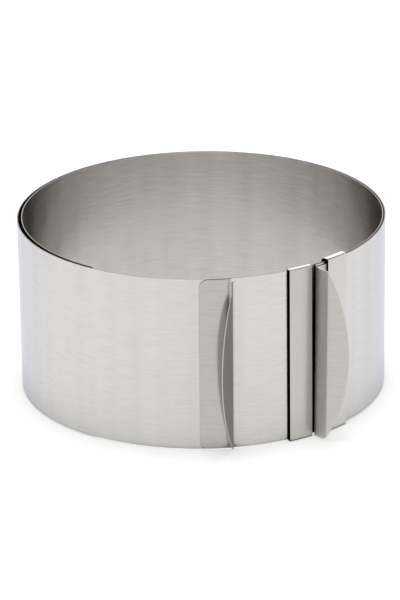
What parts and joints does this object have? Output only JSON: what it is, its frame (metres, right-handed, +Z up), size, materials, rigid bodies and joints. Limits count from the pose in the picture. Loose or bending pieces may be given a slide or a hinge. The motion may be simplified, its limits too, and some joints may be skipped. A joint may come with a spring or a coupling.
{
  "type": "adjustable cake ring",
  "caption": "Adjustable cake ring: a brushed steel strip coiled into a ring, with finger grips and guide straps that let it slide to another diameter.",
  "frame": {"origin": "on the surface that the ring stands on, under the middle of its box", "axes": "+Z up along the ring axis, -Y towards the grips at the front, +X to the right seen from the front"},
  "size_m": [0.177, 0.1856, 0.0864],
  "materials": {
    "strip_steel": "fine brushed grain along the strip",
    "grip_steel": "satin sheet, folded",
    "strap_steel": "satin sheet, folded"
  },
  "bodies": {
    "sliding_grip": {"strip_16": "strip_steel", "left_grip": "grip_steel"},
    "outer_end": {"strip_01": "strip_steel", "right_grip": "grip_steel", "left_guide_strap": "strap_steel", "right_guide_strap": "strap_steel", "guide_back_plate": "strap_steel"},
    "link_02": {"strip_02": "strip_steel"},
    "link_03": {"strip_03": "strip_steel"},
    "link_04": {"strip_04": "strip_steel"},
    "link_05": {"strip_05": "strip_steel"},
    "link_06": {"strip_06": "strip_steel"},
    "link_07": {"strip_07": "strip_steel"},
    "link_08": {"strip_08": "strip_steel"},
    "link_09": {"strip_09": "strip_steel"},
    "link_10": {"strip_10": "strip_steel"},
    "link_11": {"strip_11": "strip_steel"},
    "link_12": {"strip_12": "strip_steel"},
    "link_13": {"strip_13": "strip_steel"},
    "link_14": {"strip_14": "strip_steel"},
    "link_15": {"strip_15": "strip_steel"},
    "link_17": {"strip_17": "strip_steel"},
    "link_18": {"strip_18": "strip_steel"},
    "link_19": {"strip_19": "strip_steel"},
    "link_20": {"strip_20": "strip_steel"},
    "link_21": {"strip_21": "strip_steel"},
    "link_22": {"strip_22": "strip_steel"},
    "link_23": {"strip_23": "strip_steel"},
    "link_24": {"strip_24": "strip_steel"},
    "link_25": {"strip_25": "strip_steel"},
    "link_26": {"strip_26": "strip_steel"},
    "link_27": {"strip_27": "strip_steel"},
    "link_28": {"strip_28": "strip_steel"},
    "link_29": {"strip_29": "strip_steel"},
    "link_30": {"strip_30": "strip_steel"}
  },
  "joints": [
    {"name": "strip_bend_02", "type": "hinge", "parent": "link_02", "child": "outer_end", "pos_m": [0.07428, -0.04327, 0.0432], "axis": [0, 0, 1], "range_deg": [-1, 8.41]},
    {"name": "strip_bend_03", "type": "hinge", "parent": "link_03", "child": "link_02", "pos_m": [0.08646, -0.01315, 0.0432], "axis": [0, 0, 1], "range_deg": [-1, 8.42]},
    {"name": "strip_bend_04", "type": "hinge", "parent": "link_04", "child": "link_03", "pos_m": [0.08693, 0.01933, 0.0432], "axis": [0, 0, 1], "range_deg": [-1, 8.44]},
    {"name": "strip_bend_05", "type": "hinge", "parent": "link_05", "child": "link_04", "pos_m": [0.07561, 0.04978, 0.0432], "axis": [0, 0, 1], "range_deg": [-1.01, 8.45]},
    {"name": "strip_bend_06", "type": "hinge", "parent": "link_06", "child": "link_05", "pos_m": [0.05403, 0.07406, 0.0432], "axis": [0, 0, 1], "range_deg": [-1.01, 8.46]},
    {"name": "strip_bend_07", "type": "hinge", "parent": "link_07", "child": "link_06", "pos_m": [0.02512, 0.08888, 0.0432], "axis": [0, 0, 1], "range_deg": [-1.01, 8.47]},
    {"name": "strip_bend_08", "type": "hinge", "parent": "link_08", "child": "link_07", "pos_m": [-0.00719, 0.0922, 0.0432], "axis": [0, 0, 1], "range_deg": [-1.01, 8.48]},
    {"name": "strip_bend_09", "type": "hinge", "parent": "link_09", "child": "link_08", "pos_m": [-0.03851, 0.08358, 0.0432], "axis": [0, 0, 1], "range_deg": [-1.01, 8.49]},
    {"name": "strip_bend_10", "type": "hinge", "parent": "link_10", "child": "link_09", "pos_m": [-0.06462, 0.06423, 0.0432], "axis": [0, 0, 1], "range_deg": [-1.01, 8.5]},
    {"name": "strip_bend_11", "type": "hinge", "parent": "link_11", "child": "link_10", "pos_m": [-0.08205, 0.03673, 0.0432], "axis": [0, 0, 1], "range_deg": [-1.01, 8.52]},
    {"name": "strip_bend_12", "type": "hinge", "parent": "link_12", "child": "link_11", "pos_m": [-0.0882, 0.00471, 0.0432], "axis": [0, 0, 1], "range_deg": [-1.02, 8.53]},
    {"name": "strip_bend_13", "type": "hinge", "parent": "link_13", "child": "link_12", "pos_m": [-0.08208, -0.02732, 0.0432], "axis": [0, 0, 1], "range_deg": [-1.02, 8.54]},
    {"name": "strip_bend_14", "type": "hinge", "parent": "link_14", "child": "link_13", "pos_m": [-0.06466, -0.05483, 0.0432], "axis": [0, 0, 1], "range_deg": [-1.02, 8.55]},
    {"name": "strip_bend_15", "type": "hinge", "parent": "link_15", "child": "link_14", "pos_m": [-0.03853, -0.07415, 0.0432], "axis": [0, 0, 1], "range_deg": [-1.02, 8.56]},
    {"name": "strip_bend_16", "type": "hinge", "parent": "sliding_grip", "child": "link_15", "pos_m": [-0.00719, -0.0827, 0.0432], "axis": [0, 0, 1], "range_deg": [-1.02, 8.57]},
    {"name": "ring_size", "type": "hinge", "parent": "sliding_grip", "child": "link_17", "pos_m": [0.0251, -0.07923, 0.0432], "axis": [0, 0, -1], "range_deg": [-1.02, 8.58]},
    {"name": "strip_bend_18", "type": "hinge", "parent": "link_17", "child": "link_18", "pos_m": [0.0539, -0.06421, 0.0432], "axis": [0, 0, -1], "range_deg": [-1.02, 8.59]},
    {"name": "strip_bend_19", "type": "hinge", "parent": "link_18", "child": "link_19", "pos_m": [0.07523, -0.03971, 0.0432], "axis": [0, 0, -1], "range_deg": [-1.02, 8.61]},
    {"name": "strip_bend_20", "type": "hinge", "parent": "link_19", "child": "link_20", "pos_m": [0.08612, -0.00911, 0.0432], "axis": [0, 0, -1], "range_deg": [-1.03, 8.62]},
    {"name": "strip_bend_21", "type": "hinge", "parent": "link_20", "child": "link_21", "pos_m": [0.08506, 0.02335, 0.0432], "axis": [0, 0, -1], "range_deg": [-1.03, 8.63]},
    {"name": "strip_bend_22", "type": "hinge", "parent": "link_21", "child": "link_22", "pos_m": [0.07219, 0.05318, 0.0432], "axis": [0, 0, -1], "range_deg": [-1.03, 8.64]},
    {"name": "strip_bend_23", "type": "hinge", "parent": "link_22", "child": "link_23", "pos_m": [0.0493, 0.07621, 0.0432], "axis": [0, 0, -1], "range_deg": [-1.03, 8.66]},
    {"name": "strip_bend_24", "type": "hinge", "parent": "link_23", "child": "link_24", "pos_m": [0.01955, 0.08925, 0.0432], "axis": [0, 0, -1], "range_deg": [-1.03, 8.67]},
    {"name": "strip_bend_25", "type": "hinge", "parent": "link_24", "child": "link_25", "pos_m": [-0.0129, 0.09048, 0.0432], "axis": [0, 0, -1], "range_deg": [-1.03, 8.68]},
    {"name": "strip_bend_26", "type": "hinge", "parent": "link_25", "child": "link_26", "pos_m": [-0.04354, 0.0797, 0.0432], "axis": [0, 0, -1], "range_deg": [-1.04, 8.7]},
    {"name": "strip_bend_27", "type": "hinge", "parent": "link_26", "child": "link_27", "pos_m": [-0.068, 0.05835, 0.0432], "axis": [0, 0, -1], "range_deg": [-1.04, 8.71]},
    {"name": "strip_bend_28", "type": "hinge", "parent": "link_27", "child": "link_28", "pos_m": [-0.08281, 0.02953, 0.0432], "axis": [0, 0, -1], "range_deg": [-1.04, 8.73]},
    {"name": "strip_bend_29", "type": "hinge", "parent": "link_28", "child": "link_29", "pos_m": [-0.08609, -0.00266, 0.0432], "axis": [0, 0, -1], "range_deg": [-1.04, 8.74]},
    {"name": "strip_bend_30", "type": "hinge", "parent": "link_29", "child": "link_30", "pos_m": [-0.07747, -0.03386, 0.0432], "axis": [0, 0, -1], "range_deg": [-1.04, 8.76]}
  ],
  "couplings": [
    {"joint": "strip_bend_02", "follows": "ring_size", "ratio": 0.98009},
    {"joint": "strip_bend_03", "follows": "ring_size", "ratio": 0.98149},
    {"joint": "strip_bend_04", "follows": "ring_size", "ratio": 0.98287},
    {"joint": "strip_bend_05", "follows": "ring_size", "ratio": 0.98422},
    {"joint": "strip_bend_06", "follows": "ring_size", "ratio": 0.98556},
    {"joint": "strip_bend_07", "follows": "ring_size", "ratio": 0.98688},
    {"joint": "strip_bend_08", "follows": "ring_size", "ratio": 0.98819},
    {"joint": "strip_bend_09", "follows": "ring_size", "ratio": 0.9895},
    {"joint": "strip_bend_10", "follows": "ring_size", "ratio": 0.99079},
    {"joint": "strip_bend_11", "follows": "ring_size", "ratio": 0.99209},
    {"joint": "strip_bend_12", "follows": "ring_size", "ratio": 0.99338},
    {"joint": "strip_bend_13", "follows": "ring_size", "ratio": 0.99469},
    {"joint": "strip_bend_14", "follows": "ring_size", "ratio": 0.99599},
    {"joint": "strip_bend_15", "follows": "ring_size", "ratio": 0.99731},
    {"joint": "strip_bend_16", "follows": "ring_size", "ratio": 0.99865},
    {"joint": "strip_bend_18", "follows": "ring_size", "ratio": 1.0014},
    {"joint": "strip_bend_19", "follows": "ring_size", "ratio": 1.0028},
    {"joint": "strip_bend_20", "follows": "ring_size", "ratio": 1.0042},
    {"joint": "strip_bend_21", "follows": "ring_size", "ratio": 1.0056},
    {"joint": "strip_bend_22", "follows": "ring_size", "ratio": 1.0071},
    {"joint": "strip_bend_23", "follows": "ring_size", "ratio": 1.0087},
    {"joint": "strip_bend_24", "follows": "ring_size", "ratio": 1.0102},
    {"joint": "strip_bend_25", "follows": "ring_size", "ratio": 1.0118},
    {"joint": "strip_bend_26", "follows": "ring_size", "ratio": 1.0135},
    {"joint": "strip_bend_27", "follows": "ring_size", "ratio": 1.0152},
    {"joint": "strip_bend_28", "follows": "ring_size", "ratio": 1.017},
    {"joint": "strip_bend_29", "follows": "ring_size", "ratio": 1.0188},
    {"joint": "strip_bend_30", "follows": "ring_size", "ratio": 1.0207}
  ]
}
